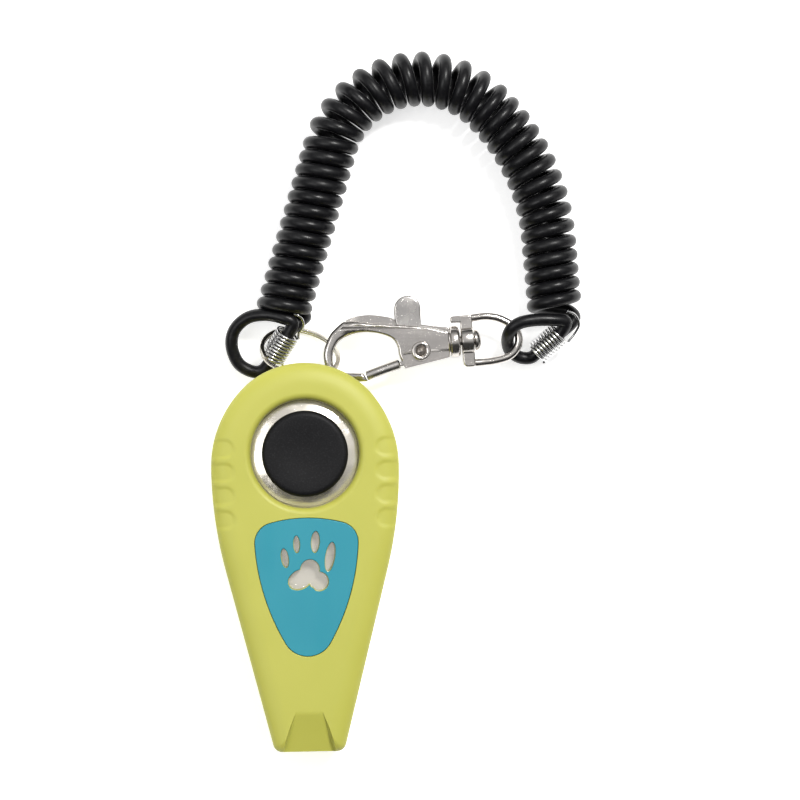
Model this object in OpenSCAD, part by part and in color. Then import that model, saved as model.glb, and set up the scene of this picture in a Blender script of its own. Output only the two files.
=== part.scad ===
// Clicker trainer with a coiled wrist strap and a swivel snap hook.
// Millimetres. The clicker lies on its back: the back face is z = 0, +Z points out of the
// front face, and the origin is on the button's axis. +Y points to the strap end.

/* [Housing] */
// Distance from the button axis to the crown of the head
crown_y = 17.5; // [17.2:0.1:17.8]
// Distance from the button axis to the tail edge
tail_y = 57.4; // [55:0.5:60]
// Radius of the crown
crown_r = 17; // [16.8:0.1:17.2]
// Radius of each shoulder
shoulder_r = 21.7; // [21.5:0.1:21.9]
// Radius of the long flank below each shoulder
flank_r = 80; // [75:1:85]
// Angle of each straight side to the centre line
taper = 14.3; // [13.8:0.1:14.6]
// Radius of the two tail corners
tail_corner_r = 1.8; // [1.5:0.1:2.5]
// Thickness from the back face to the front face
housing_t = 16; // [16:0.1:16.4]
// Height of the joint between the two shells
split_z = 6.5; // [6:0.1:7]
// Wall thickness of the shells
wall_t = 1.8; // [1.6:0.1:2]
// Width of the soft shoulder round the front face
front_edge_w = 4.2; // [3.6:0.1:4.4]
// Depth of the soft shoulder round the front face
front_edge_h = 2.2; // [1.8:0.1:2.4]
// Radius of the back edge
back_edge_r = 3; // [2.4:0.1:3.2]

/* [Button and click plate] */
// Radius of the round opening over the click plate
opening_r = 10.45; // [10.2:0.05:10.6]
// Radius of the button
button_r = 8.3; // [8:0.1:8.6]
// How far the button stands above the front face
button_proud = 0.8; // [0.6:0.1:1.2]
// Travel of the button
button_travel = 1.2; // [0.8:0.1:1.3]
// Depth of the click plate's face below the front face
plate_depth = 2.55; // [2.5:0.05:2.6]
// Thickness of the spring steel click plate
plate_t = 0.4; // [0.3:0.05:0.4]

/* [Paw plate] */
// Depth of the paw plate's pocket
paw_plate_t = 1.2; // [1:0.1:1.4]
// Gap round the paw plate
paw_plate_gap = 0.15; // [0.1:0.05:0.2]

/* [Split ring] */
// Outside diameter of the split ring
ring_od = 15.9; // [15.8:0.1:16]
// Width of the ring's wire across the radius
ring_wire_w = 0.85; // [0.8:0.05:0.85]
// Thickness of one turn of the ring
ring_wire_t = 0.43; // [0.4:0.01:0.43]
// Tilt of the ring out of the table plane
ring_tilt = 53.5; // [53:0.5:54]

/* [Coiled cord] */
// Diameter of the cord
cord_d = 2.5; // [2.4:0.05:2.5]
// Radius of the coil, to the middle of the cord
coil_r = 4.15; // [4.1:0.05:4.2]
// Number of turns
coil_turns = 38; // [38:1:38]
// Diameter of the wire wound round each cord joint
clamp_wire_d = 0.5; // [0.45:0.05:0.5]
// Turns of wire in each cord clamp
clamp_turns = 9; // [8:1:10]

/* [Snap hook] */
// Thickness of the cast hook frame
hook_t = 3.6; // [3.5:0.1:3.7]
// Width of the slot that holds the gate lever
slot_w = 1.8; // [1.7:0.05:1.85]
// Thickness of the gate lever
lever_t = 1.6; // [1.5:0.05:1.6]
// Diameter of the round gate rod
gate_rod_d = 2; // [1.8:0.1:2.1]
// Height of the hook's middle plane above the table
hook_z = 6.1; // [6.05:0.05:6.15]

/* [Hidden] */
eps = 0.01;
plate_top = housing_t - plate_depth;
plate_z = plate_top - plate_t;
ceiling_z = 14;
floor_t = 1.8;
bay_r = 13.4;
bay_y = 10.5;
bay_ceiling_z = 13.5;
cavity_head_r = 11.95;
centre_head = [0, 0.5];
pin_xy = [0.95, 16.25];
pin_r = 0.7;
pin_z0 = 3;
pin_z1 = 14.6;
play = 0.05;
lip = 0.8;
// The button peg comes down to this height at the end of its travel
stop_z = plate_top + 0.15 - 2.2 - button_travel - 0.05;

// ---------- curves ----------

function dir2(a) = [cos(a), sin(a)];
function unit(v) = v / norm(v);
function arc_points(c, r, a0, a1, n) = [for (i = [0:n]) c + r * dir2(a0 + (a1 - a0) * i / n)];

// Right half of the housing outline, moved in by d: crown, shoulder, flank and tail corner
function housing_half(d) =
    let (c1 = [0, crown_y - crown_r], a1 = 40,
        c2 = c1 + (crown_r - shoulder_r) * dir2(a1),
        c3 = c2 + [shoulder_r - flank_r, 0],
        n = dir2(-taper), flank_end = c3 + flank_r * n, rc = tail_corner_r,
        yc = rc - tail_y, xc = flank_end.x + (-rc - (yc - flank_end.y) * n.y) / n.x,
        rd = max(rc - d, 0.2), shift = d > rc - 0.2 ? d - (rc - 0.2) : 0)
    concat(arc_points(c1, crown_r - d, 90, a1, 10),
        arc_points(c2, shoulder_r - d, a1 - 5, 0, 7),
        arc_points(c3, flank_r - d, -taper / 3, -taper, 2),
        arc_points([xc - shift, yc + shift], rd, -taper, -90, 4));

function mirrored(half) =
    concat(half, [for (i = [len(half) - 1:-1:0]) if (half[i].x > 0.001) [-half[i].x, half[i].y]]);

// Guitar-pick outline of the paw plate, moved in by d
function pick_half(d) =
    let (top = [0, -12.3 - 27.2], corner = top + 23.2 * dir2(75),
        side = corner + (4 - 43) * dir2(-3), toe_a = acos(-side.x / 38),
        tip = side + 38 * dir2(-toe_a))
    concat(arc_points(top, 27.2 - d, 90, 75, 4), arc_points(corner, 4 - d, 70, -3, 7),
        arc_points(side, 43 - d, -6, -toe_a, 6), arc_points(tip, 5 - d, -toe_a - 8, -90, 6));

function ellipse_points(c, rx, ry, turn, n) =
    [for (i = [0:n - 1]) let (a = 360 * i / n, p = [rx * cos(a), ry * sin(a)])
        c + [p.x * cos(turn) - p.y * sin(turn), p.x * sin(turn) + p.y * cos(turn)]];

// Catmull-Rom curve through points, with n steps between neighbours
function spline(p, n) =
    let (m = len(p) - 1)
    concat([for (i = [0:m - 1], k = [0:n - 1])
        let (t = k / n, a = p[max(i - 1, 0)], b = p[i], c = p[i + 1], d = p[min(i + 2, m)])
        0.5 * (2 * b + (c - a) * t + (2 * a - 5 * b + 4 * c - d) * t * t
            + (3 * b - 3 * c + d - a) * t * t * t)], [p[m]]);

// Tube along a path. Each ring of points is turned so that its first point faces up[i].
module sweep(path, up, section) {
    m = len(path);
    k = len(section);
    rings = [for (i = [0:m - 1])
        let (t = unit(path[min(i + 1, m - 1)] - path[max(i - 1, 0)]),
            e1 = unit(up[i] - (up[i] * t) * t), e2 = cross(t, e1))
        for (s = section) path[i] + s.x * e1 + s.y * e2];
    sides = [for (i = [0:m - 2], j = [0:k - 1], half = [0, 1])
        let (a = i * k + j, b = i * k + (j + 1) % k)
        half == 0 ? [a, a + k, b + k] : [a, b + k, b]];
    polyhedron(rings, concat(sides, [[for (j = [0:k - 1]) j]],
        [[for (j = [k - 1:-1:0]) (m - 1) * k + j]]), convexity = 20);
}

function round_section(r, n) = [for (j = [0:n - 1]) r * dir2(360 * (j + 0.5) / n)];

// ---------- housing ----------

module outline(d) {
    polygon(mirrored(housing_half(d)));
}

// Solid through copies of the outline, each [inset, height], from the lowest to the highest
module loft(levels) {
    rings = [for (v = levels) let (p = mirrored(housing_half(v[0])))
        [for (i = [len(p) - 1:-1:0]) [p[i].x, p[i].y, v[1]]]];
    k = len(rings[0]);
    m = len(rings);
    sides = [for (i = [0:m - 2], j = [0:k - 1], half = [0, 1])
        let (a = i * k + j, b = i * k + (j + 1) % k)
        half == 0 ? [a, a + k, b + k] : [a, b + k, b]];
    polyhedron([for (r = rings) for (p = r) p], concat(sides, [[for (j = [0:k - 1]) j]],
        [[for (j = [k - 1:-1:0]) (m - 1) * k + j]]), convexity = 10);
}

edge_angles = [0, 22.5, 45, 67.5, 90];

module front_form() {
    loft(concat([[0, split_z]], [for (a = edge_angles)
        [front_edge_w * (1 - cos(a)), housing_t - front_edge_h * (1 - sin(a))]]));
}

module back_form() {
    loft(concat([for (i = [4:-1:0]) let (a = edge_angles[i])
        [back_edge_r * (1 - cos(a)), back_edge_r * (1 - sin(a))]], [[0, split_z]]));
}

// Hollow of the two shells, kept clear of the bay at the head
module cavity_outline() {
    intersection() {
        outline(wall_t);
        union() {
            translate(centre_head) circle(r = cavity_head_r, $fn = 64);
            translate([-30, -70]) square([60, 77]);
        }
    }
}

// Bay under the crown, where the split ring, the hook's nose and the strap's loop sit
module bay_cut() {
    translate([0, 0, -1]) linear_extrude(bay_ceiling_z + 1) difference() {
        translate([-20, bay_y]) square([40, 12]);
        translate(centre_head) circle(r = bay_r, $fn = 64);
    }
}

module paw_shape(grow) {
    toes = [[-4.2, -20, 0.75, 1.9, 8], [-1.9, -17.4, 0.65, 1.7, 2],
        [1.7, -17, 0.85, 2.1, -4], [4.5, -19.9, 0.95, 2.9, -10]];
    for (t = toes) {
        polygon(ellipse_points([t[0], t[1]], t[2] + grow, t[3] + grow, t[4], 24));
    }
    difference() {
        union() {
            polygon(ellipse_points([-1.3, -24.2], 2.5 + grow, 1.9 + grow, 28, 28));
            polygon(ellipse_points([2.3, -24.6], 1.9 + grow, 1.9 + grow, 0, 28));
            polygon(ellipse_points([0.6, -22.3], 1.9 + grow, 2 + grow, 0, 28));
        }
        polygon(ellipse_points([0.4, -27], 1.3 - grow, 1.4 - grow, 0, 20));
    }
}

// Four shallow thumb grips down each side, sloping down with the shoulder
grip_first = [15.4, 1.17];
grip_pitch = 4.55;
grip_r = 1.75;
grip_l = 2.8;
grip_depth = 0.25;
grip_slope = 12;

module grip_cuts() {
    for (side = [-1, 1], i = [0:3]) {
        translate([side * (grip_first.x - grip_r), grip_first.y - grip_pitch * i, housing_t])
            rotate([0, side * grip_slope, 0]) translate([side * grip_r, 0, -grip_depth])
            linear_extrude(3)
            polygon(concat(arc_points([0, 0], grip_r, 90 * side, 90 * side + 180, 12),
                [[side * grip_l, -grip_r * side], [side * grip_l, grip_r * side]]));
    }
}

// Sloping scoop at the tail
scoop_l = 8;
scoop_drop = 2.3;
scoop_w = [5, 10.2];

module scoop_cut() {
    top_y = scoop_l - tail_y;
    run = scoop_l + 0.6;
    intersection() {
        linear_extrude(2 * housing_t) polygon([[-scoop_w[0] / 2, top_y], [scoop_w[0] / 2, top_y],
            [scoop_w[1] / 2, top_y - run], [-scoop_w[1] / 2, top_y - run]]);
        translate([-scoop_w[1], top_y, housing_t]) rotate([atan2(scoop_drop, scoop_l), 0, 0])
            translate([0, -2 * run, 0]) cube([2 * scoop_w[1], 2 * run, housing_t]);
    }
}

screw_xy = [[-13.5, -9], [13.5, -9], [0, -46]];
screw_r = 1.1;
boss_r = 2.1;
plate_screw_xy = [[-4.2, -32], [4.2, -32]];
plate_screw_r = 0.75;

module front_shell() {
    color([0.83, 0.84, 0.45]) difference() {
        union() {
            difference() {
                front_form();
                translate([0, 0, split_z - 1])
                    linear_extrude(ceiling_z - split_z + 1) cavity_outline();
            }
            for (p = screw_xy) {
                translate([p.x, p.y, split_z]) cylinder(h = 8, r = boss_r, $fn = 48);
            }
            for (p = plate_screw_xy) {
                translate([p.x, p.y, plate_top]) cylinder(h = 1, r = 1.6, $fn = 48);
            }
        }
        bay_cut();
        translate([0, 0, 10]) cylinder(h = 10, r = opening_r, $fn = 96);
        translate([0, 0, housing_t - lip])
            cylinder(h = 2 * lip, r1 = opening_r, r2 = opening_r + 2 * lip, $fn = 96);
        translate([0, 0, housing_t - paw_plate_t]) linear_extrude(5)
            polygon(mirrored(pick_half(0)));
        translate([0, 0, 12]) linear_extrude(5) paw_shape(-0.1);
        grip_cuts();
        scoop_cut();
        for (p = screw_xy) {
            translate([p.x, p.y, split_z - 1]) cylinder(h = 6.5, r = screw_r + 0.03, $fn = 48);
        }
        for (p = plate_screw_xy) {
            translate([p.x, p.y, plate_top - 1]) cylinder(h = 2.4, r = plate_screw_r, $fn = 48);
        }
        translate([pin_xy.x, pin_xy.y, 10]) cylinder(h = pin_z1 - 10, r = pin_r + play, $fn = 48);
    }
}

module tongue(from_y, top_z) {
    linear_extrude(top_z) intersection() {
        outline(0.3);
        translate([-1.3, from_y]) square([4.5, 8]);
    }
}

module back_shell() {
    color([0.81, 0.82, 0.42]) difference() {
        union() {
            difference() {
                back_form();
                translate([0, 0, floor_t]) linear_extrude(split_z) cavity_outline();
                bay_cut();
            }
            // Tongue that carries the foot of the lanyard pin
            tongue(12.8, split_z);
            tongue(bay_r + 0.6, 8.3);
            // Stop under the button
            translate([0, 0, 1]) cylinder(h = stop_z - 1, r = 3, $fn = 48);
            for (p = screw_xy) {
                translate([p.x, p.y, 1]) cylinder(h = split_z - 1, r = boss_r, $fn = 48);
            }
        }
        for (p = screw_xy) {
            translate([p.x, p.y, -1]) cylinder(h = 9, r = screw_r + play, $fn = 48);
            translate([p.x, p.y, -1]) cylinder(h = 2.6, r = 1.9, $fn = 48);
        }
        translate([pin_xy.x, pin_xy.y, pin_z0]) cylinder(h = 8, r = pin_r + play, $fn = 48);
    }
}

module paw_plate() {
    color([0.28, 0.65, 0.72]) translate([0, 0, housing_t - paw_plate_t])
        linear_extrude(paw_plate_t) difference() {
            polygon(mirrored(pick_half(paw_plate_gap)));
            paw_shape(0);
        }
}

// Spring steel plate: clamped at its tail end, free under the button
module click_plate() {
    color([0.86, 0.84, 0.79]) translate([0, 0, plate_z]) linear_extrude(plate_t) difference() {
        hull() {
            translate([0, 0.3]) circle(r = 11.3, $fn = 72);
            translate([-8.6, -35]) square([17.2, 6]);
        }
        circle(r = 1.3, $fn = 48);
        for (p = plate_screw_xy) {
            translate(p) circle(r = plate_screw_r + play, $fn = 48);
        }
    }
}

module pan_screw(len, r, head_r, head_h) {
    cylinder(h = len, r = r, $fn = 32);
    translate([0, 0, -head_h]) difference() {
        cylinder(h = head_h, r = head_r, $fn = 32);
        for (a = [0, 90]) {
            rotate(a) translate([-head_r * 0.7, -0.15, -eps]) cube([head_r * 1.4, 0.3, 0.4]);
        }
    }
}

module plate_screws() {
    color([0.5, 0.5, 0.52]) for (p = plate_screw_xy) {
        translate([p.x, p.y, plate_z]) pan_screw(plate_t + 1.3, plate_screw_r, 1.5, 0.8);
    }
}

module housing_screws() {
    color([0.5, 0.5, 0.52]) for (p = screw_xy) {
        translate([p.x, p.y, 1.6]) pan_screw(10, screw_r, 1.8, 1.1);
    }
}

// ---------- button ----------

module button_cap() {
    rise = housing_t + button_proud - plate_top - 0.15;
    dish = 0.35;
    color([0.15, 0.15, 0.16]) translate([0, 0, plate_top + 0.15]) {
        rotate_extrude($fn = 96) polygon(concat([[0, 0], [button_r - 0.3, 0], [button_r, 0.3]],
            arc_points([button_r - 1, rise - 1], 1, 0, 90, 8),
            [[button_r * 0.7, rise - 0.1], [button_r * 0.35, rise - dish], [0, rise - dish]]));
        translate([0, 0, -2.2]) cylinder(h = 2.3, r = 1.2, $fn = 48);
    }
}

module button_retainer() {
    color([0.7, 0.7, 0.72]) translate([0, 0, plate_z - 0.65]) difference() {
        cylinder(h = 0.6, r = 2.8, $fn = 48);
        translate([0, 0, -1]) cylinder(h = 3, r = 1.2, $fn = 48);
        for (a = [0:60:300]) {
            rotate(a) translate([1.1, -0.15, -1]) cube([0.9, 0.3, 3]);
        }
    }
}

// ---------- lanyard pin and split ring ----------

module lanyard_pin() {
    color([0.72, 0.72, 0.72]) translate([pin_xy.x, pin_xy.y, pin_z0])
        cylinder(h = pin_z1 - pin_z0 - 0.1, r = pin_r, $fn = 48);
}

ring_c = [-0.52, 19.45, 6.7];
ring_turn = -13.06;
ring_u = [cos(ring_turn), sin(ring_turn), 0];
ring_w = [-sin(ring_turn) * cos(ring_tilt), cos(ring_turn) * cos(ring_tilt), -sin(ring_tilt)];
ring_n = cross(ring_u, ring_w);

// Two turns of flat wire that cross over once, between the wire's two ends
module split_ring() {
    rc = (ring_od - ring_wire_w) / 2;
    end_gap = 16;
    cross_at = 344;
    cross_len = 32;
    wire_end_a = 232;
    pitch = ring_wire_t + 0.02;
    path = [for (a = [end_gap:8:720 - end_gap])
        let (k = min(max((a - cross_at) / cross_len, 0), 1),
            s = (k * k * (3 - 2 * k) - 0.5) * pitch)
        ring_c + rc * (cos(a + wire_end_a) * ring_u + sin(a + wire_end_a) * ring_w)
            + s * ring_n];
    hw = ring_wire_w / 2;
    ht = ring_wire_t / 2;
    section = [[hw, -ht * 0.4], [hw, ht * 0.4], [hw * 0.6, ht], [-hw * 0.6, ht],
        [-hw, ht * 0.4], [-hw, -ht * 0.4], [-hw * 0.6, -ht], [hw * 0.6, -ht]];
    color([0.78, 0.76, 0.7]) sweep(path, [for (p = path) unit(p - ring_c)], section);
}

// ---------- coiled cord ----------

coil_start = [-3.78, 27.45];
coil_heading = 73;
coil_z = 5.5;
coil_first = 90;
// Stretches of the coil's middle line: length, and angle turned to the right
coil_runs = [[33.6, 0], [18.3 * 73 * PI / 180, 73], [18.2 * 45 * PI / 180, 45],
    [41 * 41 * PI / 180, 41], [13.6, 0]];

// Place and heading at length s from the start of run i
function run_point(p, h, run, s) =
    run[1] == 0 ? [p + s * dir2(h), h]
    : let (r = run[0] / (run[1] * PI / 180), a = run[1] * s / run[0], c = p + r * dir2(h - 90))
        [c + r * dir2(h + 90 - a), h - a];

function run_starts(i, p, h) = i == len(coil_runs) ? [[p, h]]
    : let (next = run_point(p, h, coil_runs[i], coil_runs[i][0]))
        concat([[p, h]], run_starts(i + 1, next[0], next[1]));

// Length of the inner side of run i, where neighbouring turns touch
function inner_len(run) = run[0] - coil_r * run[1] * PI / 180;
function sum_to(i) = i == 0 ? 0 : inner_len(coil_runs[i - 1]) + sum_to(i - 1);

starts = run_starts(0, coil_start, coil_heading);
inner_total = sum_to(len(coil_runs));

// Point on the coil's middle line where the inner side has run a length q
function coil_axis(q, i = 0) =
    i == len(coil_runs) - 1 || q <= sum_to(i + 1)
        ? run_point(starts[i][0], starts[i][1], coil_runs[i],
            (q - sum_to(i)) * coil_runs[i][0] / inner_len(coil_runs[i]))
        : coil_axis(q, i + 1);

coil_steps = 12;
function coil_frame(k) =
    let (at = coil_axis(inner_total * k / (coil_steps * coil_turns)),
        a = coil_first + 360 * k / coil_steps, side = dir2(at[1] - 90),
        out = [cos(a) * side.x, cos(a) * side.y, -sin(a)])
    [[at[0].x, at[0].y, coil_z] + coil_r * out, out];

coil = [for (k = [0:coil_steps * coil_turns]) coil_frame(k)];
coil_path = [for (c = coil) c[0]];
coil_up = [for (c = coil) c[1]];

left_clamp_c = [-4.28, 20.98, 4.89];
left_clamp_turn = 56;
left_clamp_rise = 20;
right_clamp_c = [47.97, 20.6, 4.85];
right_clamp_turn = 39.5;
right_clamp_rise = 13;
clamp_len = 6.2;
strand_gap = 1.29;

function clamp_dir(turn, rise) = [cos(turn) * cos(rise), sin(turn) * cos(rise), sin(rise)];
function clamp_up(turn, rise) = [-cos(turn) * sin(rise), -sin(turn) * sin(rise), cos(rise)];
function strand(c, turn, rise, s, level) =
    c + s * clamp_dir(turn, rise) + level * strand_gap * clamp_up(turn, rise);

function left_strand(s, level) =
    strand(left_clamp_c, left_clamp_turn, left_clamp_rise, s, level);
function right_strand(s, level) =
    strand(right_clamp_c, right_clamp_turn, right_clamp_rise, s, level);

// From the cord's cut end, over the elbow, round the loop, back through the clamp and up
// to the first turn of the coil
left_loop = [left_strand(-2.4, 1), left_strand(0, 1), left_strand(2.6, 1), [-1.9, 25.2, 7.8],
    [-3.7, 26.3, 7.9], [-7, 27, 7.1], [-10.6, 26.5, 5.8], [-13.2, 24.2, 4.6], [-13.8, 21.3, 3.8],
    [-12.6, 18.2, 3], [-9.9, 16.7, 2.6], [-7.6, 16.8, 2.5], left_strand(-2.4, -1),
    left_strand(0, -1), left_strand(3, -1), [-0.7, 25.5, 4.4], [0.6, 26.6, 3],
    [-0.6, 27.3, 1.75], [-2.3, 27.2, 1.37]];
right_loop = [[50.6, 27.3, 1.37], [52.2, 27, 1.7], [53.3, 25.9, 2.6], [52.7, 24.5, 3.6],
    right_strand(2.9, -1), right_strand(0, -1), right_strand(-2.5, -1), [44.7, 17.9, 2.6],
    [42.5, 18, 2.7], [40.6, 19.3, 3.5], [39.95, 21.3, 5.6], [40.35, 23.1, 8], [42, 24.5, 8.9],
    [45, 25.1, 8.9], [48.6, 25.1, 8.7], [51.2, 24.6, 7.9], right_strand(2.8, 1),
    right_strand(0, 1), right_strand(-2, 1)];

cord_path = concat(spline(concat(left_loop, [coil_path[0]]), 3),
    [for (k = [1:len(coil_path) - 2]) coil_path[k]],
    spline(concat([coil_path[len(coil_path) - 1]], right_loop), 3));
loop_steps = 3 * len(left_loop);
down = [0, 0, -1];
cord_up = concat([for (k = [0:loop_steps]) down], [for (k = [1:len(coil_path) - 2]) coil_up[k]],
    [for (k = [0:3 * len(right_loop)]) down]);

module coil_cord() {
    color([0.1, 0.1, 0.11]) sweep(cord_path, cord_up, round_section(cord_d / 2, 8));
}

// Wire wound round the two strands, ending in an eye round the bend of the cord
module cord_clamp(c, turn, rise, eye) {
    d = clamp_dir(turn, rise);
    up = clamp_up(turn, rise);
    side = cross(up, d);
    rx = 2.3;
    rz = 2.85;
    n = 12;
    wound = [for (k = [0:n * clamp_turns])
        let (a = 180 + 360 * k / n, s = clamp_len * (k / (n * clamp_turns) - 0.5))
        c + s * d + rx * cos(a) * side + rz * sin(a) * up];
    hints = [for (k = [0:n * clamp_turns]) d];
    tail = spline(concat([wound[len(wound) - 1]], eye), 3);
    path = concat([for (k = [0:len(wound) - 2]) wound[k]], tail);
    ups = concat([for (k = [0:len(wound) - 2]) hints[k]], [for (p = tail) d]);
    sweep(path, ups, round_section(clamp_wire_d / 2, 6));
}

module left_cord_clamp() {
    color([0.75, 0.75, 0.74]) cord_clamp(left_clamp_c, left_clamp_turn, left_clamp_rise,
        [[-0.7, 23.3, 6.6], [0.2, 24.9, 7.5], [-0.35, 26.4, 8.3], [-1.6, 27, 8.5]]);
}

module right_cord_clamp() {
    color([0.8, 0.8, 0.82]) cord_clamp(right_clamp_c, right_clamp_turn, right_clamp_rise,
        [[53.1, 22.4, 6.2], [53.9, 24.2, 7.2], [53, 26, 8.2], [51.4, 26.7, 8.9]]);
}

// ---------- snap hook ----------

rivet_xy = [22.99, 19.47];
hook_turn = -0.96;
swivel_turn = 5;
swivel_c = [6.4, 1.8];
rivet_hole_r = 1.05;
rivet_tube_r = 1.35;
rivet_head_r = 1.85;
collar_r = 3.05;
neck_r = 2.6;
swivel_pin_r = 1.15;
bail_wire_r = 0.78;

// Places a piece drawn round the rivet, with z = 0 at the hook's middle plane
module at_hook() {
    translate([rivet_xy.x, rivet_xy.y, hook_z]) rotate(hook_turn) children();
}

// Places a piece drawn along the swivel axis, +X towards the strap
module on_swivel() {
    at_hook() translate([swivel_c.x, swivel_c.y, 0]) rotate(swivel_turn) children();
}

hook_outer = [[-10.3, -5.9], [-13, -5.95], [-16.3, -5.45], [-18.3, -3.6], [-18.95, -0.8],
    [-18.4, 1.6], [-17.2, 3.8], [-14.2, 6.2], [-10.6, 7], [-7, 6.7], [-5.2, 6.2], [-3, 5.7],
    [1, 5.1], [5.6, 4.6]];
hook_under = [[5.6, -1.2], [1, -2.4], [-3, -3.4]];
hook_inner = [[-3.4, -2.6], [-4.2, -0.9], [-4.5, 0.7], [-5.25, 2.1], [-6.7, 2.95], [-8.9, 3.5],
    [-11.2, 3.6], [-13.7, 3.1], [-15.8, 2], [-16.9, 0.3], [-17.2, -1.6], [-16.75, -3.35],
    [-14.9, -4.15], [-13, -4.25], [-11.2, -4.3]];
front_cheek = [[-13.5, 5.7], [-11.5, 6], [-9, 5.3], [-5, 5.05], [0, 4.8], [5.5, 3.85]];
cheek_end = 5.7;
front_step = [[-3.6, -0.5], [-2, -0.3], [2, 0.1], [5.4, 0.7], [5.4, -4], [-3.6, -4]];
step_t = 0.5;

module hook_frame() {
    color([0.72, 0.7, 0.67]) {
        at_hook() difference() {
            translate([0, 0, -hook_t / 2]) linear_extrude(hook_t)
                polygon(concat(spline(hook_outer, 3), hook_under, spline(hook_inner, 3)));
            translate([-5.5, -5, -slot_w / 2]) cube([10.1, 15, slot_w]);
            translate([0, 0, -5]) cylinder(h = 10, r = rivet_tube_r, $fn = 48);
            // The front cheek stands lower than the back one and steps down below the rivet
            translate([0, 0, slot_w / 2]) linear_extrude(hook_t)
                polygon(concat(front_cheek, [[cheek_end, 9], [front_cheek[0].x, 9]]));
            translate([0, 0, hook_t / 2 - step_t]) linear_extrude(hook_t) difference() {
                polygon(front_step);
                circle(r = rivet_head_r + play, $fn = 48);
            }
            // Thinner crown, so that the ring can swing in the eye
            for (side = [-1, 1]) {
                translate([-20, -8, side * (crown_t + 2) / 2 - 1]) cube([crown_l, 16, 2]);
            }
        }
        on_swivel() difference() {
            union() {
                rotate([0, 90, 0]) translate([0, 0, -1.2]) cylinder(h = 1, r = neck_r, $fn = 64);
                rotate([0, 90, 0]) translate([0, 0, -0.7]) cylinder(h = 1.9, r = collar_r, $fn = 64);
            }
            rotate([0, 90, 0]) translate([0, 0, -0.5]) cylinder(h = 3, r = swivel_pin_r, $fn = 48);
        }
    }
}

module swivel_pin() {
    color([0.75, 0.74, 0.72]) on_swivel() rotate([0, 90, 0]) {
        translate([0, 0, -0.5]) cylinder(h = 5, r = swivel_pin_r, $fn = 48);
        translate([0, 0, 4.1]) intersection() {
            cylinder(h = 1.3, r = 2.1, $fn = 64);
            translate([0, 0, -1.6]) sphere(r = 2.9, $fn = 64);
        }
    }
}

bail_mid = [[2.6, 4.2], [4.8, 4.4], [7.2, 4.35], [9.6, 3.6], [11.9, 1.9], [12.75, -0.3],
    [12.1, -2.4], [10.3, -3.8], [7.6, -4.35], [4.8, -4.45], [2.6, -4.4]];

module swivel_bail() {
    path = [for (p = spline(bail_mid, 3)) [p.x, p.y, 0]];
    color([0.72, 0.7, 0.68]) on_swivel() {
        sweep(path, [for (p = path) [0, 0, 1]], round_section(bail_wire_r, 10));
        difference() {
            union() {
                translate([1.5, -5.1, -1.1]) cube([2.4, 10, 2.2]);
                rotate([0, 90, 0]) translate([0, 0, 1.5]) cylinder(h = 2.4, r = 2.7, $fn = 64);
            }
            rotate([0, 90, 0]) cylinder(h = 8, r = swivel_pin_r + play, $fn = 48);
        }
    }
}

module gate_rivet() {
    color([0.8, 0.78, 0.74]) at_hook() difference() {
        union() {
            translate([0, 0, -hook_t / 2]) cylinder(h = hook_t, r = rivet_tube_r, $fn = 48);
            for (z = [-hook_t / 2 - 0.35, hook_t / 2]) {
                translate([0, 0, z]) cylinder(h = 0.35, r = rivet_head_r, $fn = 48);
            }
        }
        translate([0, 0, -5]) cylinder(h = 10, r = rivet_hole_r, $fn = 48);
    }
}

crown_t = 2.6;
crown_l = 6.5;
gate_tip = [-10.3, -4.75];
gate_root = [-4.05, -2.5];

module gate_lever() {
    color([0.64, 0.62, 0.6]) at_hook() {
        difference() {
            translate([0, 0, -lever_t / 2]) linear_extrude(lever_t) difference() {
                union() {
                    circle(r = 2.3, $fn = 48);
                    polygon([[-4.6, -2.5], [-2, -2.4], [1.5, -1.6], [2.3, 2], [0.2, 4], [-0.1, 6.5],
                        [-5.2, 6.6], [-3.6, 3], [-2.3, 0.4]]);
                    translate([-2.65, 8.2]) circle(r = 2.6, $fn = 48);
                    translate([-5.25, 5.5]) square([5.2, 2.7]);
                }
                circle(r = rivet_tube_r + play, $fn = 48);
            }
        }
        rod = gate_root - gate_tip;
        translate([gate_tip.x, gate_tip.y, 0]) rotate([0, 90, atan2(rod.y, rod.x)])
            cylinder(h = norm(rod), r = gate_rod_d / 2, $fn = 48);
    }
}

// Small push spring between the lever's back and the collar end of the slot
module gate_spring() {
    r = 0.6;
    n = 10;
    turns = 4;
    path = [for (k = [0:n * turns]) let (a = 360 * k / n)
        [2.55 + 1.75 * k / (n * turns), 2.6 + r * cos(a), r * sin(a)]];
    color([0.6, 0.6, 0.6]) at_hook()
        sweep(path, [for (p = path) [1, 0, 0]], round_section(0.13, 6));
}

front_shell();
back_shell();
paw_plate();
click_plate();
plate_screws();
housing_screws();
button_cap();
button_retainer();
lanyard_pin();
split_ring();
coil_cord();
left_cord_clamp();
right_cord_clamp();
swivel_bail();
swivel_pin();
hook_frame();
gate_rivet();
gate_spring();
gate_lever();
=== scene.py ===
import math

import bmesh
import bpy
from mathutils import Matrix, Vector
from mathutils.geometry import tessellate_polygon

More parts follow.
